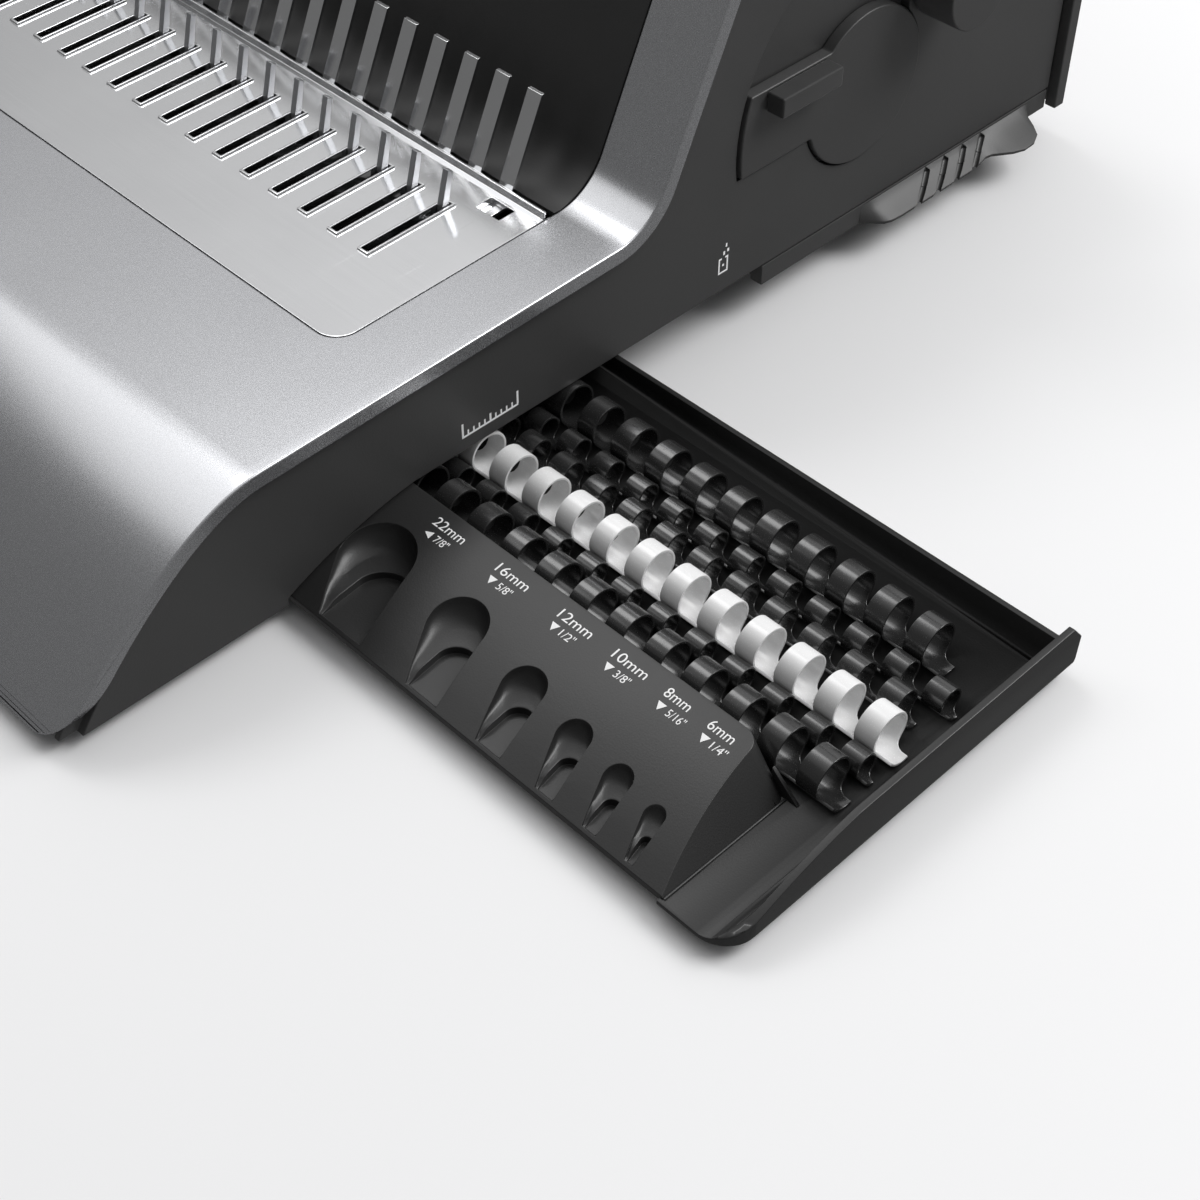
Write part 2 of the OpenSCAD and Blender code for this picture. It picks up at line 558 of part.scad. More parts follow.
module comb_tray() color(black) difference() {
  union() {
    box([tray_x[0], tray_y, table_gap], [tray_x[1] - 1, tray_y + tray_d, table_gap + tray_floor]);
    box([tray_x[0], tray_y + tray_d - tray_wall, table_gap], [tray_x[1] - 1, tray_y + tray_d, tray_z]);
    box([tray_x[0], tray_y + 1, table_gap], [tray_x[0] + tray_wall, tray_y + tray_d, tray_z - 2]);
    along_x(tray_x[1] - 2.5, tray_x[1]) tray_end_shape();
    difference() {
      along_x(tray_x[0], gauge_end + 3) polygon(concat([[tray_y, table_gap]],
        bow([tray_y, 6.2], [tray_y + gauge_d, tray_z], gauge_r, 10), [[tray_y + gauge_d, table_gap]]));
      translate([gauge_end, tray_y - 1, 6]) rotate([0, -37, 0]) box([0, 0, 0], [30, gauge_d + 2, 40]);
      for (i = [0:5]) scoop(comb_sizes[i], scoop_x(i));
    }
  }
  difference() {
    box([tray_x[1] - tray_r, tray_y - 1, 0], [tray_x[1] + 1, tray_y + tray_r, 40]);
    translate([tray_x[1] - tray_r, tray_y + tray_r, -1]) cylinder(h = 50, r = tray_r);
  }
}

// Combs in the tray; gap is the distance from the tray's end to the last ring
module comb(r, y, gap) {
  x1 = tray_x[1] - gap;
  translate([0, y, table_gap + tray_floor + 0.15 + r]) difference() {
    union() {
      for (i = [0:rings - 1]) rod_x(x1 - i * pitch - ring_w, x1 - i * pitch, 0, 0, r);
      intersection() {
        rod_x(x1 - span - ring_w - 3, x1 + 3, 0, 0, r);
        along_x(x1 - span - ring_w - 4, x1 + 4) polygon([[0, 0], 2 * r * [cos(208), sin(208)],
          2 * r * [cos(252), sin(252)], 2 * r * [cos(296), sin(296)]]);
      }
    }
    rod_x(x1 - span - ring_w - 4, x1 + 4, 0, 0, r - comb_wall);
    along_x(x1 - span - ring_w - 4, x1 + 4) polygon([[0, 0], 2 * r * [cos(202), sin(202)],
      2 * r * [cos(207), sin(207)]]);
  }
}
module comb_a() color(black) comb(7.3, tray_y + 112.3, 26.2);
module comb_b() color(black) comb(4.5, tray_y + 100.5, 12);
module comb_c() color(black) comb(5, tray_y + 90.6, 19.5);
module comb_d() color(white) comb(7, tray_y + 78.3, 15);
module comb_e() color(black) comb(4.2, tray_y + 67.1, 13.5);
module comb_f() color(black) comb(7, tray_y + 55.9, 15.6);

// Chip drawer
module pull(y, w, out) translate([0, drawer_y + y + w, 0]) rotate([90, 0, 0]) linear_extrude(w) polygon([
  [half_w - 1, tray_z - 0.7], [half_w, tray_z - 0.7], [half_w + out, drawer_z0 + 1], [half_w + out, drawer_z0],
  [half_w - 1, drawer_z0]]);
module chip_drawer() color(black) difference() {
  union() {
    difference() {
      box([drawer_x0, tub_y[0], drawer_z0], [panel_x - 2, tub_y[1], tray_z]);
      box([drawer_x0 + 1.8, tub_y[0] + 1.8, drawer_z0 + 1.6], [panel_x - 4, tub_y[1] - 1.8, tray_z + 1]);
    }
    box([panel_x - 2, drawer_y, drawer_z0], [half_w, drawer_y + drawer_d, tray_z]);
    pull(drawer_d - 97, 54, 8);
    pull(drawer_d - 39, 27, pull_out);
  }
  for (y = [84, 74, 64, 53]) box([half_w + 1, drawer_y + drawer_d - y, drawer_z0 - 1],
    [half_w + 9, drawer_y + drawer_d - y + 2, tray_z - 0.9]);
}

base_plate();
rubber_feet();
top_shell();
right_side_panel();
left_side_panel();
tower_front_panel();
top_cover();
rear_cover();
right_side_frame();
left_side_frame();
panel_screws();
tray_rails();
drawer_rails();
carriage_rails();
comb_plate();
rake();
hook_bar();
rack_right();
rack_left();
binding_shaft();
gear_right();
gear_left();
binding_shaft_bushes();
binding_lever();
lever_pad();
die_plate();
punch_guide_plate();
throat_stop();
guide_rods();
punch_bar();
punches();
punch_shaft();
cam_right();
cam_left();
punch_shaft_bushes();
return_spring();
punch_lever();
punch_grip();
edge_guide();
comb_tray();
comb_a();
comb_b();
comb_c();
comb_d();
comb_e();
comb_f();
chip_drawer();
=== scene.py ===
"""Comb binding machine with its comb tray pulled out: finishes, fine shapes, light and camera."""
import json
import math

import bmesh
import bpy
from mathutils import Matrix, Vector

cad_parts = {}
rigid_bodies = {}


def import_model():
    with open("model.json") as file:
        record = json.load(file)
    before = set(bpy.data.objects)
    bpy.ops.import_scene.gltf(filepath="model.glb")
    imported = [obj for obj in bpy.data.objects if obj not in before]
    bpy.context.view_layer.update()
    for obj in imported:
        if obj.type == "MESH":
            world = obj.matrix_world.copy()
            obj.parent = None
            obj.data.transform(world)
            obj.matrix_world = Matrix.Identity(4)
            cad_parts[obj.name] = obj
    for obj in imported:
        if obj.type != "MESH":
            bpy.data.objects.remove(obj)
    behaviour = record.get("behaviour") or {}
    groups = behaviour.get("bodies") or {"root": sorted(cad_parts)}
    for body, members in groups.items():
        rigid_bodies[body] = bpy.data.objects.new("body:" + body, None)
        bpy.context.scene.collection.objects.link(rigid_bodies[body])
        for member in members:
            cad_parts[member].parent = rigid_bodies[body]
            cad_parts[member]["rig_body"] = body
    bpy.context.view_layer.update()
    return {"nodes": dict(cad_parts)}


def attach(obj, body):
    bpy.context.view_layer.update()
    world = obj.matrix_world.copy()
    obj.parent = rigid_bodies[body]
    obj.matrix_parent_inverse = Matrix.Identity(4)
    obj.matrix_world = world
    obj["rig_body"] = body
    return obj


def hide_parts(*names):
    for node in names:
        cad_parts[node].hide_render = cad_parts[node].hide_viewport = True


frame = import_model()
MM = 0.001


def at(x, y, z):
    """A point in millimetres, as Blender's metres."""
    return Vector((x, y, z)) * MM


# Finishes


class Feed:
    """An output of a finish's nodes; sums and products of feeds add Math nodes."""

    def __init__(self, finish, socket):
        self.finish, self.socket = finish, socket

    def worked(self, operation, *terms):
        return self.finish.node("Math", {"operation": operation}, dict(enumerate(terms)))

    def __add__(self, other):
        return self.worked("ADD", self, other)

    __radd__ = __add__

    def __sub__(self, other):
        return self.worked("SUBTRACT", self, other)

    def __rsub__(self, other):
        return self.worked("SUBTRACT", other, self)

    def __mul__(self, other):
        return self.worked("MULTIPLY", self, other)

    __rmul__ = __mul__


class Finish:
    """A material with one shader; node() adds any other node and links what it is given."""

    def __init__(self, name, slot, roughness, fixed=None):
        self.slot = slot
        self.material = bpy.data.materials.new(name)
        self.material.use_nodes = True
        self.tree = self.material.node_tree
        self.shader = next(n for n in self.tree.nodes if n.type == "BSDF_PRINCIPLED")
        self.feed(Roughness=roughness)
        for socket, value in (fixed or {}).items():
            self.shader.inputs[socket].default_value = value
        self.place = self.node("TexCoord", output="Object")

    def link(self, socket, value):
        if isinstance(value, Feed):
            self.tree.links.new(value.socket, socket)
        else:
            socket.default_value = value

    def node(self, kind, settings=None, inputs=None, output=0):
        made = self.tree.nodes.new("ShaderNode" + kind)
        for key, value in (settings or {}).items():
            if key == "stops":
                low, high = made.color_ramp.elements
                low.position, high.position = value
            else:
                setattr(made, key, value)
        for key, value in (inputs or {}).items():
            self.link(made.inputs[key], value)
        return Feed(self, made.outputs[output])

    def feed(self, **sockets):
        for name, value in sockets.items():
            self.link(self.shader.inputs[name.replace("_", " ")], value)

    def stretched(self, x, y, z):
        return self.node("Mapping", {}, {"Vector": self.place, "Scale": (x, y, z)})

    def noise(self, scale, detail=2.0, place=None):
        return self.node("TexNoise", {}, {"Vector": place or self.place, "Scale": scale, "Detail": detail})

    def cells(self, scale):
        return self.node("TexVoronoi", {}, {"Vector": self.place, "Scale": scale})

    def above(self, value, low, high):
        return self.node("ValToRGB", {"stops": (low, high)}, {"Fac": value})

    def tinted(self, amount, dark, light):
        """Base colour between two linear greys or colours."""
        pair = [tuple(c) + (1.0,) if isinstance(c, tuple) else (c, c, c, 1.0) for c in (dark, light)]
        mixed = self.node("Mix", {"data_type": "RGBA"}, {0: amount, 6: pair[0], 7: pair[1]}, output=2)
        self.feed(Base_Color=mixed)

    def relief(self, *layers):
        """Bump layers as (height, strength, depth in millimetres)."""
        normal = None
        for height, strength, depth in layers:
            inputs = {"Height": height, "Strength": strength, "Distance": depth * MM}
            if normal:
                inputs["Normal"] = normal
            normal = self.node("Bump", {}, inputs)
        self.feed(Normal=normal)


def silver_paint():
    f = Finish("silver_paint", "silver_skin", 0.33, {"Metallic": 0.86, "Coat Weight": 0.35, "Coat Roughness": 0.12})
    flake = f.node("TexVoronoi", {}, {"Vector": f.place, "Scale": 4200.0}, output="Color")
    glint = f.node("SeparateColor", {}, {0: flake})
    cloud = f.noise(14.0, 3.0)
    f.tinted(0.62 * glint + 0.38 * cloud, (0.45, 0.455, 0.47), (0.58, 0.585, 0.605))
    f.feed(Roughness=0.24 + 0.04 * cloud + 0.03 * glint)
    f.relief((f.noise(420.0, 2.0), 0.02, 0.03), (glint, 0.03, 0.02))
    return f


def moulded(name, slot, dark, light, roughness, grain, depth):
    """Injection-moulded plastic with a fine spark-eroded grain and a little handling shine."""
    f = Finish(name, slot, roughness)
    pits = f.cells(grain)
    fine = f.noise(grain * 1.7, 3.0)
    cloud = f.noise(22.0, 4.0)
    rubbed = f.above(f.noise(9.0, 2.0), 0.45, 0.75)
    f.tinted(0.65 * cloud + 0.35 * fine, dark, light)
    f.feed(Roughness=roughness + 0.10 * cloud - 0.06 * rubbed + 0.05 * fine)
    f.relief((pits, 0.30, depth), (fine, 0.22, depth * 0.6))
    return f


def gloss_plastic(name, slot, dark, light, roughness):
    """Extruded comb strip: smooth, faintly drawn along its length, with dust and rubbed spots."""
    f = Finish(name, slot, roughness, {"Specular IOR Level": 0.95})
    drawn = f.noise(900.0, 3.0, f.stretched(0.03, 1.0, 1.0))
    cloud = f.noise(60.0, 3.0)
    dust = f.above(f.noise(2600.0, 1.0), 0.66, 0.74)
    f.tinted(0.5 * cloud + 0.35 * drawn + 0.4 * dust, dark, light)
    f.feed(Roughness=roughness + 0.05 * cloud + 0.05 * drawn + 0.18 * dust)
    f.relief((drawn, 0.10, 0.03), (f.noise(140.0, 1.0), 0.12, 0.12))
    return f


def bright_plate():
    f = Finish("bright_plate", "bright_plate", 0.12, {"Metallic": 1.0})
    rolled = f.noise(1500.0, 3.0, f.stretched(0.02, 1.0, 1.0))
    cloud = f.noise(26.0, 3.0)
    scratch = f.above(f.noise(700.0, 2.0, f.stretched(1.0, 0.015, 1.0)), 0.66, 0.72)
    f.tinted(0.6 * cloud + 0.4 * rolled, (0.74, 0.745, 0.755), (0.86, 0.865, 0.875))
    f.feed(Roughness=0.08 + 0.07 * cloud + 0.05 * rolled + 0.08 * scratch)
    f.relief((rolled, 0.05, 0.02), (f.noise(38.0, 1.0), 0.05, 0.25))
    return f


def sheet_steel(name, slot, dark, light, roughness, along):
    """Steel with its rolling or grinding marks along one axis, and a few darker stains."""
    f = Finish(name, slot, roughness, {"Metallic": 1.0})
    marks = f.noise(1300.0, 4.0, f.stretched(*along))
    stain = f.noise(35.0, 4.0)
    f.tinted(0.5 * marks + 0.5 * stain, dark, light)
    f.feed(Roughness=roughness + 0.12 * stain + 0.10 * marks)
    f.relief((marks, 0.12, 0.03))
    return f


def soft_rubber():
    f = Finish("soft_rubber", "soft_rubber", 0.72, {"Sheen Weight": 0.12, "Sheen Roughness": 0.5})
    bloom = f.noise(55.0, 5.0)
    fine = f.noise(3200.0, 2.0)
    f.tinted(0.6 * bloom + 0.4 * fine, 0.012, 0.034)
    f.feed(Roughness=0.64 + 0.16 * bloom)
    f.relief((fine, 0.35, 0.05), (f.cells(1500.0), 0.15, 0.06))
    return f


def white_ink():
    f = Finish("white_ink", "comb_white", 0.55)
    weave = f.noise(2400.0, 3.0)
    f.tinted(weave, 0.78, 0.93)
    f.feed(Roughness=0.48 + 0.15 * weave)
    f.relief((weave, 0.15, 0.02))
    return f


SILVER = silver_paint()
CHARCOAL = moulded("charcoal_plastic", "charcoal_plastic", 0.038, 0.054, 0.40, 1500.0, 0.05)
BLACK = moulded("black_plastic", "black_plastic", 0.015, 0.024, 0.34, 1700.0, 0.045)
COMB_BLACK = gloss_plastic("comb_black", "comb_black", 0.016, 0.028, 0.15)
COMB_WHITE = gloss_plastic("comb_white", "comb_white", 0.76, 0.86, 0.20)
PLATE = bright_plate()
STEEL = sheet_steel("steel_plate", "steel_plate", (0.36, 0.365, 0.38), (0.52, 0.525, 0.54), 0.30,
                    (0.03, 1.0, 1.0))
GROUND = sheet_steel("ground_steel", "ground_steel", (0.52, 0.525, 0.53), (0.68, 0.685, 0.69), 0.16,
                     (1.0, 0.05, 0.05))
BEARING = moulded("bearing_plastic", "bearing_plastic", 0.30, 0.40, 0.42, 900.0, 0.03)
RUBBER = soft_rubber()
INK = white_ink()


# Modelling steps


def clear():
    if bpy.context.object and bpy.context.object.mode != "OBJECT":
        bpy.ops.object.mode_set(mode="OBJECT")
    bpy.ops.object.select_all(action="DESELECT")


def pick(piece):
    clear()
    piece.select_set(True)
    bpy.context.view_layer.objects.active = piece


def edit(piece=None):
    if piece:
        pick(piece)
    bpy.ops.object.mode_set(mode="EDIT")
    bpy.ops.mesh.select_mode(type="VERT")


def done():
    bpy.ops.object.mode_set(mode="OBJECT")
    return bpy.context.object


def wire(points, closed=False):
    """Draws edges through points in millimetres and stays in edit mode with all selected."""
    clear()
    bpy.ops.mesh.primitive_plane_add(size=MM)
    edit()
    bpy.ops.mesh.merge(type="CENTER")
    bpy.ops.transform.translate(value=at(*points[0]))
    for a, b in zip(points, points[1:]):
        bpy.ops.mesh.extrude_vertices_move(TRANSFORM_OT_translate={"value": at(*b) - at(*a)})
    if closed:
        bpy.ops.mesh.extrude_vertices_move(TRANSFORM_OT_translate={"value": at(*points[0]) - at(*points[-1])})
        bpy.ops.mesh.select_all(action="SELECT")
        bpy.ops.mesh.remove_doubles(threshold=0.002 * MM)
    bpy.ops.mesh.select_all(action="SELECT")


def choose(test):
    """Selects the edges that a test on their two vertices keeps."""
    bpy.ops.mesh.select_all(action="DESELECT")
    bpy.ops.mesh.select_mode(type="EDGE")
    mesh = bmesh.from_edit_mesh(bpy.context.object.data)
    for edge in mesh.edges:
        if test(*edge.verts):
            edge.select_set(True)
    bmesh.update_edit_mesh(bpy.context.object.data)


def outward():
    bpy.ops.mesh.select_all(action="SELECT")
    bpy.ops.mesh.normals_make_consistent(inside=False)


def block(points, along):
    """A closed outline pushed out along a vector in millimetres."""
    wire(points)
    bpy.ops.mesh.edge_face_add()
    bpy.ops.mesh.extrude_region_move(TRANSFORM_OT_translate={"value": at(*along)})
    outward()
    return done()


def along_x(outline, x0, x1):
    return block([(x0, y, z) for y, z in outline], (x1 - x0, 0, 0))


def along_y(outline, y0, y1):
    return block([(x, y0, z) for x, z in outline], (0, y1 - y0, 0))


def along_z(outline, z0, z1):
    return block([(x, y, z0) for x, y in outline], (0, 0, z1 - z0))


def rod(radius, a, b, sides=32):
    """A rod between two points in millimetres, with its place in its mesh."""
    clear()
    run = at(*b) - at(*a)
    bpy.ops.mesh.primitive_cylinder_add(vertices=sides, radius=radius * MM, depth=run.length)
    piece = bpy.context.object
    piece.matrix_world = Matrix.Translation((at(*a) + at(*b)) / 2) @ run.to_track_quat("Z", "Y").to_matrix().to_4x4()
    bpy.ops.object.transform_apply(location=True, rotation=True, scale=True)
    return piece


def apply(piece, kind, **settings):
    pick(piece)
    modifier = piece.modifiers.new(kind.lower(), kind)
    for key, value in settings.items():
        setattr(modifier, key, value)
    bpy.ops.object.modifier_apply(modifier=modifier.name)
    return piece


def joined(first, *others):
    for other in others:
        pick(first)
        other.select_set(True)
        bpy.ops.object.join()
    return first


def worked(piece, operation, *tools):
    for tool in tools:
        apply(piece, "BOOLEAN", operation=operation, object=tool, solver="EXACT")
        bpy.data.objects.remove(tool)
    return piece


def cut(piece, *tools):
    return worked(piece, "DIFFERENCE", *tools)


def fused(piece, *tools):
    return worked(piece, "UNION", *tools)


def soften(piece, width, segments=2, angle=38.0, smooth=40.0):
    """Rounds the edges and smooths the faces between them."""
    if width:
        apply(piece, "BEVEL", width=width * MM, segments=segments, limit_method="ANGLE",
              angle_limit=math.radians(angle), use_clamp_overlap=False, miter_outer="MITER_ARC")
    pick(piece)
    bpy.ops.object.shade_smooth_by_angle(angle=math.radians(smooth))
    return apply(piece, "WEIGHTED_NORMAL", keep_sharp=True)


def loft(loops):
    """A closed skin through loops with equal numbers of points."""
    count = len(loops[0])
    wire(loops[0], closed=True)
    skin = done()
    for level, loop in enumerate(loops[1:]):
        wire(loop, closed=True)
        joined(skin, done())
        edit(skin)
        choose(lambda a, b: a.index // count == b.index // count and a.index // count in (level, level + 1))
        bpy.ops.mesh.bridge_edge_loops()
        done()
    edit(skin)
    bpy.ops.mesh.select_all(action="SELECT")
    bpy.ops.mesh.fill_holes(sides=0)
    outward()
    return done()


def dress(piece, name, finish, nodes, body=None):
    """Names a finished piece, gives it its finish and puts it on its body."""
    piece.name = piece.data.name = name
    piece.data.materials.clear()
    piece.data.materials.append(finish.material)
    nodes = [nodes] if isinstance(nodes, str) else nodes
    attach(piece, body or frame["nodes"][nodes[0]]["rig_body"])
    if nodes:
        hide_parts(*nodes)
    return piece


def split(piece, places):
    """Divides the faces of a piece across X, so that none of them spans many features."""
    edit(piece)
    for x in places:
        bpy.ops.mesh.select_all(action="SELECT")
        bpy.ops.mesh.bisect(plane_co=at(x, 0, 0), plane_no=(1, 0, 0))
    return done()


def from_solid(node, finish, width=0.3, places=()):
    """A copy of a solid with its edges rounded, in place of the solid."""
    clear()
    piece = bpy.data.objects.new(node + "_finished", frame["nodes"][node].data.copy())
    bpy.context.scene.collection.objects.link(piece)
    edit(piece)
    bpy.ops.mesh.select_all(action="SELECT")
    bpy.ops.mesh.remove_doubles(threshold=0.002 * MM)
    bpy.ops.mesh.dissolve_limited(angle_limit=math.radians(0.6))
    done()
    soften(split(piece, places), width)
    return dress(piece, node + "_finished", finish, node)


# Outline of the casing seen from the right, nose first, as y and z


def bezier(a, b, c, d, n):
    a, b, c, d = map(Vector, (a, b, c, d))
    return [(1 - t) ** 3 * a + 3 * (1 - t) ** 2 * t * b + 3 * (1 - t) * t * t * c + t ** 3 * d
            for t in (i / n for i in range(n + 1))]


def rounded(a, b, c, radius, n):
    """The round that takes the place of corner b."""
    a, b, c = map(Vector, (a, b, c))
    u, v = (a - b).normalized(), (c - b).normalized()
    half = math.acos(u.dot(v)) / 2
    centre = b + (u + v).normalized() * radius / math.sin(half)
    p, q = b + u * radius / math.tan(half), b + v * radius / math.tan(half)
    start = math.atan2(p.y - centre.y, p.x - centre.x)
    swing = (math.atan2(q.y - centre.y, q.x - centre.x) - start + 3 * math.pi) % (2 * math.pi) - math.pi
    return [centre + radius * Vector((math.cos(start + swing * i / n), math.sin(start + swing * i / n)))
            for i in range(n + 1)]


def inset(run, d):
    """A run of points moved towards its right-hand side."""
    def side(p, q):
        u = (q - p).normalized()
        return Vector((u.y, -u.x))
    moved, last = [], len(run) - 1
    for i, p in enumerate(run):
        before = side(run[max(i - 1, 0)], run[max(i, 1)])
        after = side(run[min(i, last - 1)], run[min(i + 1, last)])
        mean = (before + after).normalized()
        moved.append(p + mean * d / mean.dot(after))
    return moved


NOSE, TABLE_GAP = (-221, 4), 4
DECK_FRONT, DECK_BACK = (-147, 60), (1.5, 64)
BROW, TAIL, HEEL = (43.475, 152), (221, 138), (221, 12)
SIDE_X, RIM_X, RIM_IN = 194.5, 197.5, 193.0
RIM_DEPTH, RIM_SLOPE, SKIN = 5.5, 1.8, 2.5
nose = bezier(NOSE, (-215, 16), (-177, 59), DECK_FRONT, 36)
foot = rounded(DECK_FRONT, DECK_BACK, BROW, 22, 24)
brow = rounded(DECK_BACK, BROW, TAIL, 10, 16)
rear = rounded(BROW, TAIL, HEEL, 36, 20)


def deck_at(y):
    """Height of the deck, which rises towards the tower."""
    (y0, z0), (y1, z1) = DECK_FRONT, DECK_BACK
    return z0 + (z1 - z0) * (y - y0) / (y1 - y0)


def arc(cx, cy, r, a0, a1, n):
    """Points on a circle between two angles in degrees."""
    return [(cx + r * math.cos(math.radians(a0 + (a1 - a0) * i / n)),
             cy + r * math.sin(math.radians(a0 + (a1 - a0) * i / n))) for i in range(n + 1)]


def skin_of(run):
    """The skin over a run of the outline, with a deeper rim on both sides."""
    thin, deep = inset(run, SKIN)[::-1], inset(run, RIM_DEPTH)[::-1]
    step = RIM_IN - RIM_SLOPE
    stations = [(-RIM_X, deep), (-RIM_IN, deep), (-step, thin), (step, thin), (RIM_IN, deep), (RIM_X, deep)]
    return loft([[(x, y, z) for y, z in run + inner] for x, inner in stations])


def rounded_field(x, y0, y1, r):
    """A field open to the rear with rounded front corners, as x and y."""
    return (arc(x - r, y0 + r, r, 0, -90, 8) + arc(r - x, y0 + r, r, 270, 180, 8) + [(-x, y1), (x, y1)])


PLATE_X, PLATE_FRONT, PLATE_REAR, PLATE_R, PLATE_FIT = 170.0, -98.0, -15.5, 8, 0.5
CORNER_X, CORNER_Z, CORNER_R = 179.5, 21.5, 18
POST_X, POST_Y, POST_R = 150, -190, 6


def shell():
    """Silver skin with an opening for the comb plate, round lower corners and two posts inside the nose."""
    piece = skin_of(nose + foot + brow)
    opening = along_z(rounded_field(PLATE_X + PLATE_FIT, PLATE_FRONT - PLATE_FIT, 240, PLATE_R), 30, 190)
    corners = [along_y([(s * 181, -30), (s * 220, -30), (s * 220, CORNER_Z)] +
                       [(s * x, z) for x, z in arc(CORNER_X, CORNER_Z, CORNER_R, 0, -90, 12)],
                       -240, DECK_FRONT[0]) for s in (1, -1)]
    below = along_z([(-260, -260), (260, -260), (260, -195), (-260, -195)], -40, TABLE_GAP)
    cut(piece, opening, *corners, below)
    soften(piece, 0.7, 3)
    posts = [soften(rod(POST_R, (s * POST_X, POST_Y, 3.4), (s * POST_X, POST_Y, 33)), 0.4) for s in (1, -1)]
    return dress(joined(piece, *posts), "silver_shell", SILVER, "top_shell")


shell()


def slab(x0, x1, y0, y1, z0, z1):
    """A box between two corners."""
    return block([(x0, y0, z0), (x1, y0, z0), (x1, y1, z0), (x0, y1, z0)], (0, 0, z1 - z0))


THROAT, GUIDE_SLOT = (-165, 165, 77.5, 83.5), (60, 160, 103.5, 107.5)
SEAM = 10


def covers():
    """Top cover with its paper throat and guide slot, and rear cover; they meet at one point of the rear round."""
    top = skin_of([brow[-1]] + rear[:SEAM + 1])
    cut(top, slab(*THROAT, 120, 170), slab(*GUIDE_SLOT, 120, 170))
    dress(soften(top, 0.6, 3), "top_cover_moulded", CHARCOAL, "top_cover")
    back = skin_of(rear[SEAM:] + [Vector(HEEL)])
    dress(soften(back, 0.6, 3), "rear_cover_moulded", CHARCOAL, "rear_cover")


covers()


# Comb plate with raised lips round its hook slots

PITCH, RINGS = 14.2875, 21
RING_X = [(i - (RINGS - 1) / 2) * PITCH for i in range(RINGS)]
SLOT_Y, SLOT_W, LIP_W, LIP_ROOM = (-64.5, -31.0), 3.0, 4.8, 0.9


def plate():
    outline = [(x, y, deck_at(y) - 0.5) for x, y in rounded_field(PLATE_X, PLATE_FRONT, PLATE_REAR, PLATE_R)]
    piece = block(outline, (0, 0, -2))
    (front, rear_end), level = SLOT_Y, [deck_at(y) for y in SLOT_Y]
    lip = [(front - LIP_ROOM, level[0] - 1), (front - LIP_ROOM, level[0] + 0.3),
           (rear_end + LIP_ROOM, level[1] + 0.3), (rear_end + LIP_ROOM, level[1] - 1)]
    lips = joined(*[along_x(lip, x - LIP_W / 2, x + LIP_W / 2) for x in RING_X])
    upstand = slab(-PLATE_X, PLATE_X, PLATE_REAR - 1.2, PLATE_REAR, deck_at(PLATE_REAR) - 1, deck_at(PLATE_REAR) + 2)
    slots = joined(*[slab(x - SLOT_W / 2, x + SLOT_W / 2, front, rear_end, 51, 79) for x in RING_X])
    windows = [slab(s * 155.1 - 5.1, s * 155.1 + 5.1, -26.2, -19.7, 51, 79) for s in (1, -1)]
    fused(piece, lips, upstand)
    cut(piece, slots, *windows)
    soften(piece, 0.3, 2)
    return dress(piece, "comb_plate_bright", PLATE, "comb_plate")


plate()


# Comb tray with its size gauge

TRAY_Y, TRAY_END, GAUGE_END = -141.0, 365.5, 342.0


CREST_Y, CREST_Z, CREST_R = 63.46, -122.1, 143.1


def gauge_z(y):
    """Height of the gauge's curve at a distance from the tray's front."""
    return CREST_Z + math.sqrt(CREST_R ** 2 - (CREST_Y - y) ** 2)


def teardrop(cx, cy, r, foot_x, foot_w, foot_y, n=30):
    """A round with straight sides down to a narrower foot, anticlockwise from the foot's right end."""
    left, right = foot_x - foot_w / 2, foot_x + foot_w / 2

    def touch(px, sign):
        d = math.hypot(cx - px, cy - foot_y)
        base = math.atan2(foot_y - cy, px - cx)
        return base + sign * math.acos(min(1, r / d))
    a0, a1 = touch(right, 1), touch(left, -1) + 2 * math.pi
    while a1 - a0 > 2 * math.pi:
        a1 -= 2 * math.pi
    round_part = [(cx + r * math.cos(a0 + (a1 - a0) * i / n), cy + r * math.sin(a0 + (a1 - a0) * i / n))
                  for i in range(n + 1)]
    p, q = Vector(round_part[0]), Vector(round_part[-1])
    f, g = Vector((right, foot_y)), Vector((left, foot_y))
    sides = 6
    return ([f.lerp(p, i / sides) for i in range(sides)] + [Vector(v) for v in round_part] +
            [q.lerp(g, i / sides) for i in range(1, sides + 1)] + [g.lerp(f, i / 4) for i in range(1, 4)])


def scoop(rim, well, foot_at, floor=6.0, ledge=8.6):
    """Tool for one scoop: a well down to the floor, a narrow ledge and a bowl out to the rim."""
    top = teardrop(*rim, *foot_at, 1.9)
    low = teardrop(*well, *foot_at, 1.9)
    small = teardrop(well[0], well[1], well[2] - 0.6, foot_at[0], foot_at[1] - 1.2, 2.5)

    def loop(plan, heights):
        return [(p.x + SIDE_X, p.y + TRAY_Y, z) for p, z in zip(plan, heights)]
    count = len(top)
    shelf = [max(floor + 0.6, min(ledge, gauge_z(h.y) - 1.2)) for h in top]
    loops = [loop(small, [floor] * count), loop(small, [s - 0.1 for s in shelf])]
    for t in (0.0, 0.12, 0.28, 0.48, 0.72, 1.0):
        out = math.sqrt(1 - (1 - t) ** 2)
        plan = [l.lerp(h, out) for l, h in zip(low, top)]
        loops.append(loop(plan, [s + t * (gauge_z(h.y) - s) for s, h in zip(shelf, top)]))
    loops.append(loop(top, [34.0] * count))
    return loft(loops)


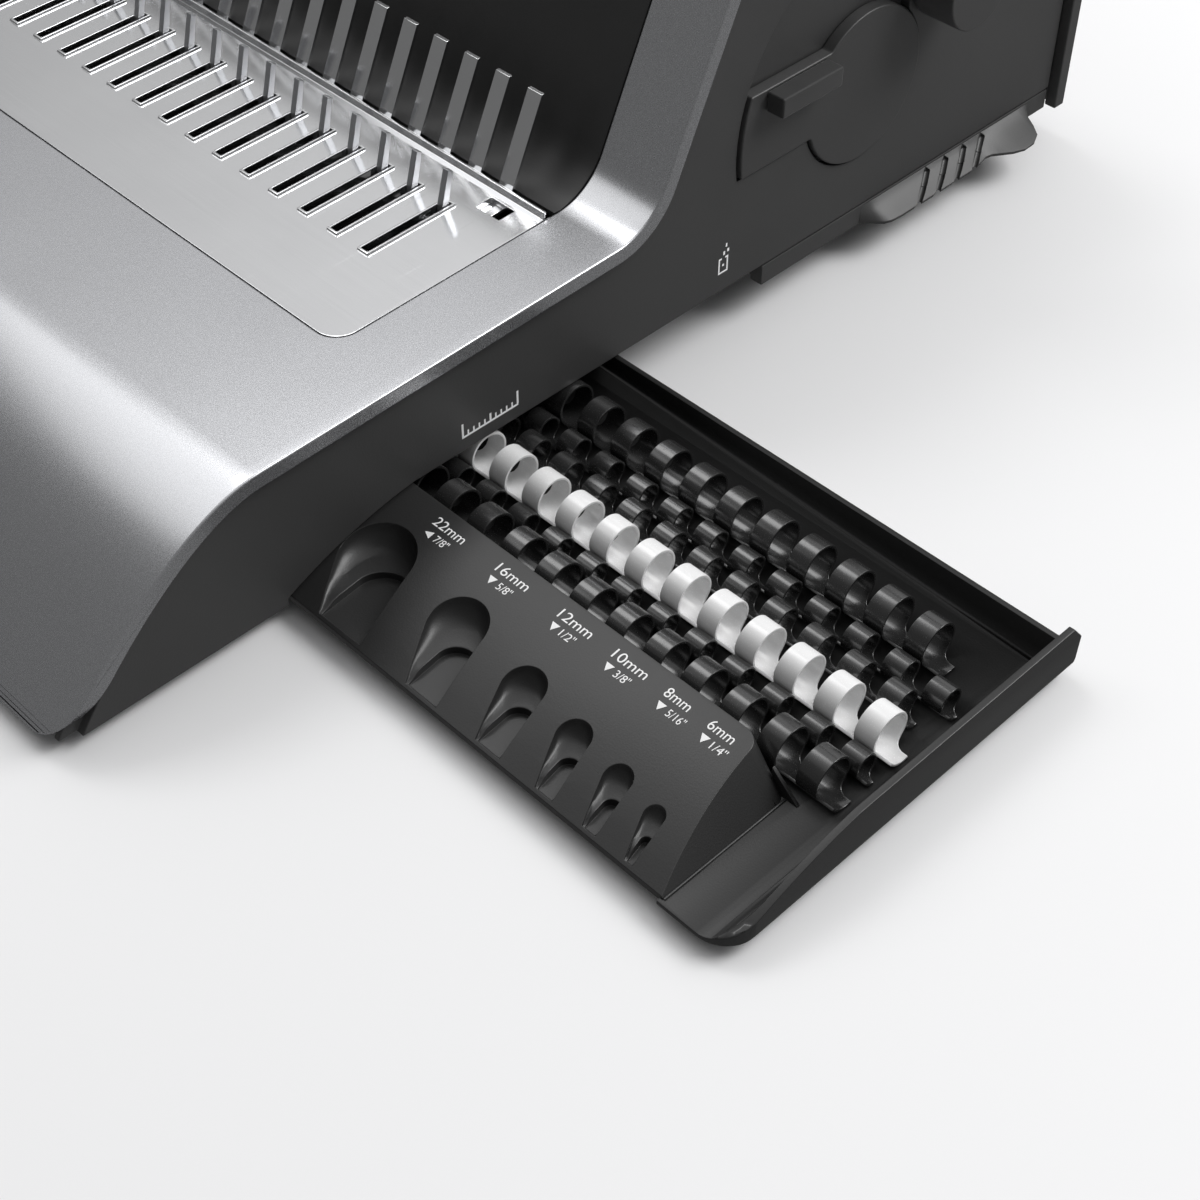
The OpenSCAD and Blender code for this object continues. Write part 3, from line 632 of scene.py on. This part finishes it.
# Rim and well of each scoop as x, y and radius, then the middle and width of its foot
SCOOPS = [((11.5, 23.0, 12.0), (18.6, 18.4, 9.6), (19.6, 18.0)),
          ((47.5, 21.8, 9.2), (53.3, 15.5, 6.8), (54.4, 12.6)),
          ((76.8, 19.4, 6.7), (80.6, 13.8, 5.2), (81.3, 9.6)),
          ((98.3, 17.4, 5.2), (102.0, 12.0, 3.9), (103.0, 6.6)),
          ((116.3, 15.9, 4.3), (119.2, 10.8, 3.1), (119.9, 4.9)),
          ((131.1, 14.3, 3.1), (133.4, 9.2, 2.2), (134.2, 2.9))]


BETWEEN_SCOOPS = (200.0, 228.0, 259.9, 284.1, 303.6, 319.7)


def gauge():
    """Raised front of the tray: a low curve with six scoops and a sloping end."""
    front, rear = TRAY_Y + 0.8, TRAY_Y + 48
    curve = [(TRAY_Y + y, gauge_z(y)) for y in [0.8] + [3.6 * i for i in range(2, 14)] + [48.0]]
    piece = along_x([(front, 4.4)] + curve + [(rear, 4.4)], 37.3, GAUGE_END + 14)
    lean = math.tan(math.radians(37))
    cut(piece, along_y([(GAUGE_END, 3.0), (GAUGE_END, 6.0), (GAUGE_END - 24 * lean, 30.0), (GAUGE_END + 30, 30.0),
                        (GAUGE_END + 30, 3.0)], front - 5, front + 60))
    corner, r = [], 5.0
    for z in (3.0, 31.0):
        edge = GAUGE_END - (z - 6) * lean
        corner.append([(x, y, z) for x, y in [(edge + 3, rear - r)] + arc(edge - r, rear - r, r, 0, 90, 8) + [
            (edge - r, rear + 3), (edge + 3, rear + 3)]])
    cut(piece, loft(corner))
    for rim, well, foot_at in SCOOPS:
        cut(piece, scoop(rim, well, foot_at))
    split(piece, BETWEEN_SCOOPS)
    return soften(piece, 0.2, 2, 34.0)


def tray():
    """Floor and end wall in one profile, then the back and left walls, the fin, the fold and the gauge."""
    front = TRAY_Y
    side = [(37, 4.0), (TRAY_END - 1.2, 4.0)] + arc(TRAY_END - 1.2, 5.2, 1.2, -90, 0, 4) + [
        (TRAY_END, 24), (TRAY_END - 2.2, 24)] + arc(TRAY_END - 10.2, 13.6, 8, 0, -90, 10) + [(37, 5.6)]
    base = along_y(side, front - 0.5, front + 142)
    crest = [(front + y, gauge_z(y)) for y in (i * 48 / 15 for i in range(1, 16))]
    worked(base, "INTERSECT", along_x([(front - 3, 2.0), (front - 3, 5.9), (front - 0.5, 6.1)] + crest + [
        (front + 137.5, 20.2), (front + 141.9, 14.7), (front + 141.5, 6.0), (front + 139.6, 2.0)], 20, 380))
    r = 11.0
    cx, cy = TRAY_END - r, front + r - 0.5
    corner = [(TRAY_END + 5, front - 5), (TRAY_END + 5, cy)] + arc(cx, cy, r, 0, -90, 16) + [(cx, front - 5)]
    cut(base, slab(20, 357, front + 133, front + 160, -5, 40),
        slab(20, GAUGE_END - 1, front - 5, front + 1.3, -5, 40), along_z(corner, -5, 40))
    soften(base, 0.35, 2, 34.0)
    back = soften(slab(37.2, TRAY_END - 1.5, front + 131, front + 132.9, 4.6, 20.15), 0.35)
    left = soften(slab(37.4, 39.4, front + 44, front + 132, 4.6, 18.2), 0.35)
    fin = soften(block([(GAUGE_END - 4.5, -94.4, 5.0), (GAUGE_END + 4.5, -94.4, 5.0), (GAUGE_END + 4.0, -94.4, 6.0),
                        (GAUGE_END - 5.2, -94.4, 14.0)], (0, 1.2, 0)), 0.25)
    fold = rod(0.4, (GAUGE_END + 0.3, front + 1, 5.75), (GAUGE_END + 0.3, front + 46.5, 5.75), 12)
    whole = joined(fused(base, back, left), soften(fold, 0), fin, gauge())
    return dress(whole, "comb_tray_satin", BLACK, "comb_tray")


tray()


# Combs lying in the tray

# Radius, y, gap to the tray's end and length beyond the last ring
COMBS = {"a": (7.3, -28.7, 26.2, 5.0), "b": (4.5, -40.5, 12.0, 2.6), "c": (5.0, -50.4, 19.5, 4.0),
         "d": (7.0, -62.7, 15.0, 5.2), "e": (4.2, -73.9, 13.5, 3.0), "f": (7.0, -85.1, 15.6, 5.2)}
RING_W, WALL, FLOOR_Z = 7.0, 0.9, 5.75
GAP = PITCH - RING_W
FRONT_EDGE, ROOT = 208.0, 316.0


def slot_end(x, x1, radius):
    """Angle at which the strip ends between two rings: the slots have round ends."""
    along = (x1 - x) % PITCH if x1 - (RINGS - 1) * PITCH - RING_W < x < x1 else RING_W + min(GAP / 2, max(
        x - x1, x1 - (RINGS - 1) * PITCH - RING_W - x))
    off = max(0.0, along - RING_W)
    return ROOT - math.degrees(math.sqrt(max(0.0, (GAP / 2) ** 2 - (off - GAP / 2) ** 2)) / radius)


def comb(letter, radius, y, gap, spare):
    """A strip curled round: the rings rise from the rear of the spine and come down in front of it."""
    x1 = TRAY_END - gap
    z = FLOOR_Z + radius
    mid = radius - WALL / 2
    x0 = x1 - (RINGS - 1) * PITCH - RING_W
    fan = [GAP / 2 * (1 - math.cos(math.radians(d))) for d in range(0, 181, 20)]
    xs = [x0 - spare] + [x0 - v for v in reversed(fan[1:5]) if v < spare - 0.2]
    for i in range(RINGS - 1, 0, -1):
        xs += [x1 - i * PITCH - RING_W] + [x1 - i * PITCH + v for v in fan[:-1]]
    xs += [x1 - RING_W] + [x1 + v for v in fan[:5] if v < spare - 0.2] + [x1 + spare]

    def rim(angle):
        return (y + mid * math.cos(math.radians(angle)), z + mid * math.sin(math.radians(angle)))

    wire([(x,) + rim(ROOT) for x in xs])
    bpy.ops.mesh.spin(steps=12, angle=math.radians(ROOT - FRONT_EDGE), center=at(0, y, z), axis=(1, 0, 0))
    line = at(0, *rim(ROOT)).yz
    choose(lambda a, b: max((v.co.yz - line).length for v in (a, b)) < 0.01 * MM
           and abs(abs(a.co.x - b.co.x) / MM - RING_W) < 0.01)
    bpy.ops.mesh.spin(steps=26, angle=math.radians(FRONT_EDGE - ROOT - 3) % math.tau * -1, center=at(0, y, z),
                      axis=(1, 0, 0))
    bpy.ops.mesh.select_all(action="SELECT")
    bpy.ops.mesh.remove_doubles(threshold=0.01 * MM)
    piece = done()
    for v in piece.data.vertices:
        turn = math.degrees(math.atan2(v.co.z / MM - z, v.co.y / MM - y)) % 360
        if FRONT_EDGE - 1 < turn < ROOT + 1:
            end = slot_end(v.co.x / MM, x1, radius)
            low = FRONT_EDGE + (5.0 if min(abs(v.co.x / MM - x0 + spare), abs(v.co.x / MM - x1 - spare)) < 0.01 else 0)
            turn = low + (turn - FRONT_EDGE) * (end - low) / (ROOT - FRONT_EDGE)
            v.co.yz = at(0, *rim(turn)).yz
    edit(piece)
    bpy.ops.mesh.select_all(action="SELECT")
    outward()
    piece = done()
    apply(piece, "SOLIDIFY", thickness=WALL * MM, offset=0.0)
    soften(piece, 0.22, 2, 50.0)
    finish = COMB_WHITE if letter == "d" else COMB_BLACK
    return dress(piece, "comb_" + letter + "_strip", finish, "comb_" + letter)


for letter, sizes in COMBS.items():
    comb(letter, *sizes)


# Chip drawer: a tub, and a front strip that swells into a finger pull

DRAWER_LOW, DRAWER_TOP = 12.6, 20.2
# Places along the front strip and how far the pull stands out there
PULL = [(107.8, 0.15), (109.5, 1.6), (112.0, 4.6), (114.0, 6.6), (116.5, 7.6), (121.0, 8.0), (160.0, 8.0),
        (166.0, 7.2), (170.0, 6.3), (173.0, 6.8), (176.0, 8.8), (180.0, 11.4), (184.5, 13.0), (190.0, 12.8),
        (195.0, 10.4), (198.6, 6.0), (200.5, 2.2), (201.0, 0.2)]


def drawer():
    tub = slab(-152, 190, 60, 198, DRAWER_LOW, DRAWER_TOP)
    cut(tub, slab(-150.2, 187.5, 61.8, 196.2, 14.2, 24))
    dress(soften(tub, 0.35), "chip_drawer_tub", BLACK, "chip_drawer")
    front = slab(189.5, SIDE_X, 58, 213, DRAWER_LOW, DRAWER_TOP - 0.05)
    sections = []
    for y, out in PULL:
        face = [(SIDE_X + out * t ** 1.3, 19.4 - 5.6 * t) for t in (0.0, 0.2, 0.4, 0.6, 0.8, 1.0)]
        lip = SIDE_X + out - 0.3 * min(1.0, out)
        sections.append([(x, y, z) for x, z in [(192.5, 19.4)] + face + [(lip, 12.65), (192.5, 12.65)]])
    pull = loft(sections)
    for k in range(4):
        y = 143.5 + 10.3 * k
        cut(pull, rod(1.15, (SIDE_X + 0.4, y, 18.6), (SIDE_X + 3.6, y - 5.5, 15.8), 16),
            rod(1.15, (SIDE_X + 3.4, y - 5.2, 16.0), (SIDE_X + 9.6, y - 16.5, 11.6), 16))
    whole = joined(soften(front, 0.35), soften(pull, 0.2, 2, 34.0))
    return dress(whole, "chip_drawer_front", CHARCOAL, "chip_drawer")


drawer()


# Size marks on the gauge and signs on the right panel

# Metric size, inch size, x and width of each mark
MARKS = [("22mm", "7/8\"", 15.5, 12.4), ("16mm", "5/8\"", 42.0, 12.4), ("12mm", "1/2\"", 67.3, 12.4),
         ("10mm", "3/8\"", 88.4, 12.4), ("8mm", "5/16\"", 107.9, 8.8), ("6mm", "1/4\"", 123.7, 8.7)]


def settled(piece, x, y):
    """Lays a flat piece, drawn from the origin, on the gauge's curve."""
    slope = math.atan((CREST_Y - y) / math.sqrt(CREST_R ** 2 - (CREST_Y - y) ** 2))
    pick(piece)
    piece.matrix_world = (Matrix.Translation(at(x + SIDE_X, y + TRAY_Y, gauge_z(y) + 0.03))
                          @ Matrix.Rotation(slope, 4, "X"))
    bpy.ops.object.transform_apply(location=True, rotation=True, scale=True)
    return piece


def words(text, x, y, width, height):
    clear()
    bpy.ops.object.text_add()
    piece = bpy.context.object
    piece.data.body, piece.data.extrude = text, 0.02
    bpy.ops.object.convert(target="MESH")
    piece = bpy.context.object
    low, high = Vector(piece.bound_box[0]), Vector(piece.bound_box[6])
    grow = Vector((width * MM / (high.x - low.x), height * MM / (high.y - low.y), MM))
    piece.matrix_world = Matrix.Diagonal(grow).to_4x4() @ Matrix.Translation(-low)
    bpy.ops.object.transform_apply(location=True, rotation=True, scale=True)
    edit(piece)
    bpy.ops.mesh.select_all(action="SELECT")
    bpy.ops.mesh.remove_doubles(threshold=0.004 * MM)
    done()
    return settled(piece, x, y)


def marks():
    """Sizes with an arrow each, the way a scoop is found by its number."""
    pieces = []
    for k, (metric, inch, x, width) in enumerate(MARKS):
        pieces.append(words(metric, x, 41.0, width, 3.3))
        arrow = [(0, 1.3), (2.8, 0.0), (2.8, 2.6)] if k == 0 else [(0, 2.6), (1.5, 0.0), (3.0, 2.6)]
        pieces.append(settled(block([(px, py, 0) for px, py in arrow], (0, 0, 0.04)), x + 0.6, 36.6))
        pieces.append(words(inch, x + 4.9, 36.7, 5.2 + 0.9 * (len(inch) - 4), 2.6))
    return dress(joined(*pieces), "size_marks", INK, [], "tray")


def signs():
    """A scale beside the tray and a bin with falling chips beside the drawer."""
    def dash(y0, y1, z0, z1):
        return slab(SIDE_X - 0.02, SIDE_X + 0.05, y0, y1, z0, z1)
    strokes = [dash(-74.0, -51.4, 25.7, 26.4)]
    for i in range(11):
        tall = 31.2 if i in (0, 10) else 29.0 if i == 5 else 28.0
        y = -74.0 + 22.0 * i / 10
        strokes.append(dash(y, y + (0.75 if i in (0, 5, 10) else 0.6), 26.4, tall))
    strokes += [dash(36.2, 40.6, 28.0, 28.6), dash(36.2, 36.8, 28.6, 34.0), dash(40.0, 40.6, 28.6, 34.0),
                dash(36.8, 37.6, 33.4, 34.0), dash(39.2, 40.0, 33.4, 34.0), dash(38.0, 38.8, 30.6, 31.4),
                dash(38.2, 39.0, 34.8, 36.2), dash(40.0, 40.9, 35.4, 36.6), dash(39.2, 39.9, 37.6, 38.9)]
    return dress(joined(*strokes), "side_signs", INK, [], "casing")


marks()
signs()


# Other solids with rounded edges

for node, finish, width in [
        ("right_side_panel", CHARCOAL, 0.4), ("left_side_panel", CHARCOAL, 0.4), ("tower_front_panel", BLACK, 0.3),
        ("binding_lever", CHARCOAL, 0.6), ("lever_pad", RUBBER, 0.8), ("punch_lever", CHARCOAL, 0.6),
        ("punch_grip", RUBBER, 0.4), ("edge_guide", BLACK, 0.5)]:
    from_solid(node, finish, width)
between = [x + PITCH / 2 for x in RING_X[:-1]]
from_solid("rake", PLATE, 0.12, between)
from_solid("hook_bar", STEEL, 0.2, between)
for node, finish in {
        "base_plate": BLACK, "rubber_feet": RUBBER, "right_side_frame": STEEL, "left_side_frame": STEEL,
        "panel_screws": GROUND, "tray_rails": STEEL, "drawer_rails": STEEL, "carriage_rails": STEEL,
        "rack_right": STEEL, "rack_left": STEEL, "binding_shaft": GROUND, "gear_right": STEEL, "gear_left": STEEL,
        "binding_shaft_bushes": BEARING, "die_plate": STEEL, "punch_guide_plate": STEEL, "throat_stop": STEEL,
        "guide_rods": GROUND, "punch_bar": STEEL, "punches": GROUND, "punch_shaft": GROUND, "cam_right": STEEL,
        "cam_left": STEEL, "punch_shaft_bushes": BEARING, "return_spring": GROUND}.items():
    solid = frame["nodes"][node]
    solid.data.materials.clear()
    solid.data.materials.append(finish.material)


# Stage: floor, light and camera


def pale_floor():
    """Pale table, kept out of reflections so that the lower nose stays dark."""
    clear()
    bpy.ops.mesh.primitive_plane_add(size=14.0, location=(0, 0, -0.0005))
    floor = bpy.context.object
    floor.name = "floor"
    material = bpy.data.materials.new("pale_floor")
    material.use_nodes = True
    shader = next(n for n in material.node_tree.nodes if n.type == "BSDF_PRINCIPLED")
    shader.inputs["Base Color"].default_value = (0.80, 0.80, 0.805, 1)
    shader.inputs["Roughness"].default_value = 0.6
    floor.data.materials.append(material)
    floor.visible_glossy = False


def lamp(name, place, aim, wide, tall, power):
    """A rectangular lamp, in metres and watts, that the camera does not see."""
    data = bpy.data.lights.new(name, "AREA")
    data.shape, data.size, data.size_y, data.energy = "RECTANGLE", wide, tall, power
    made = bpy.data.objects.new(name, data)
    bpy.context.scene.collection.objects.link(made)
    made.visible_camera = False
    made.location = place
    made.rotation_euler = (Vector(aim) - Vector(place)).to_track_quat("-Z", "Y").to_euler()


def sky():
    """Studio surroundings: bright above and behind, dim low in front, white to the camera."""
    world = bpy.data.worlds.new("studio")
    bpy.context.scene.world = world
    world.use_nodes = True
    nodes, links = world.node_tree.nodes, world.node_tree.links
    back = next(n for n in nodes if n.type == "BACKGROUND")
    place = nodes.new("ShaderNodeTexCoord")
    lean = nodes.new("ShaderNodeVectorMath")
    ramp = nodes.new("ShaderNodeValToRGB")
    path = nodes.new("ShaderNodeLightPath")
    mix = nodes.new("ShaderNodeMix")
    mix.data_type = "RGBA"
    lean.operation = "DOT_PRODUCT"
    lean.inputs[1].default_value = (0.0, 0.5, 0.866)
    links.new(place.outputs["Generated"], lean.inputs[0])
    links.new(lean.outputs["Value"], ramp.inputs["Fac"])
    links.new(path.outputs["Is Camera Ray"], mix.inputs[0])
    links.new(ramp.outputs["Color"], mix.inputs[6])
    mix.inputs[7].default_value = (0.86, 0.86, 0.87, 1)
    links.new(mix.outputs[2], back.inputs["Color"])
    low, high = ramp.color_ramp.elements
    low.position, low.color = 0.42, (0.16, 0.16, 0.16, 1)
    high.position, high.color = 0.84, (0.86, 0.86, 0.865, 1)


def camera():
    """The photo's view, fitted to the comb pitch."""
    data = bpy.data.cameras.new("photo_view")
    data.lens, data.sensor_width, data.shift_y = 61.152, 36.0, -0.005
    data.clip_start, data.clip_end = 0.01, 50.0
    made = bpy.data.objects.new("photo_view", data)
    bpy.context.scene.collection.objects.link(made)
    yaw, pitch, roll = (math.radians(a) for a in (45.406, 45.391, 0.065))
    forward = Vector((-math.sin(yaw) * math.cos(pitch), math.cos(yaw) * math.cos(pitch), -math.sin(pitch)))
    right = Vector((math.cos(yaw), math.sin(yaw), 0))
    up = right.cross(forward)
    turn = Matrix((right, up, -forward)).transposed() @ Matrix.Rotation(roll, 3, "Z")
    made.matrix_world = Matrix.Translation(at(547.07, -364.42, 421.96)) @ turn.to_4x4()
    bpy.context.scene.camera = made


pale_floor()
lamp("key", (1.1, 1.1, 1.5), (0.1, 0, 0), 1.0, 1.0, 21.0)
lamp("rear", (-0.5, 0.24, 1.36), (0.28, -0.1, 0), 0.6, 0.5, 3.4)
lamp("nose", (-0.35, -0.29, 0.65), (0, -0.19, 0.05), 0.5, 0.34, 0.75)
lamp("far", (0.75, 1.0, 1.0), (0.42, 0.5, 0), 0.8, 0.8, 5.0)
sky()
camera()
bpy.context.scene.view_settings.view_transform = "Standard"
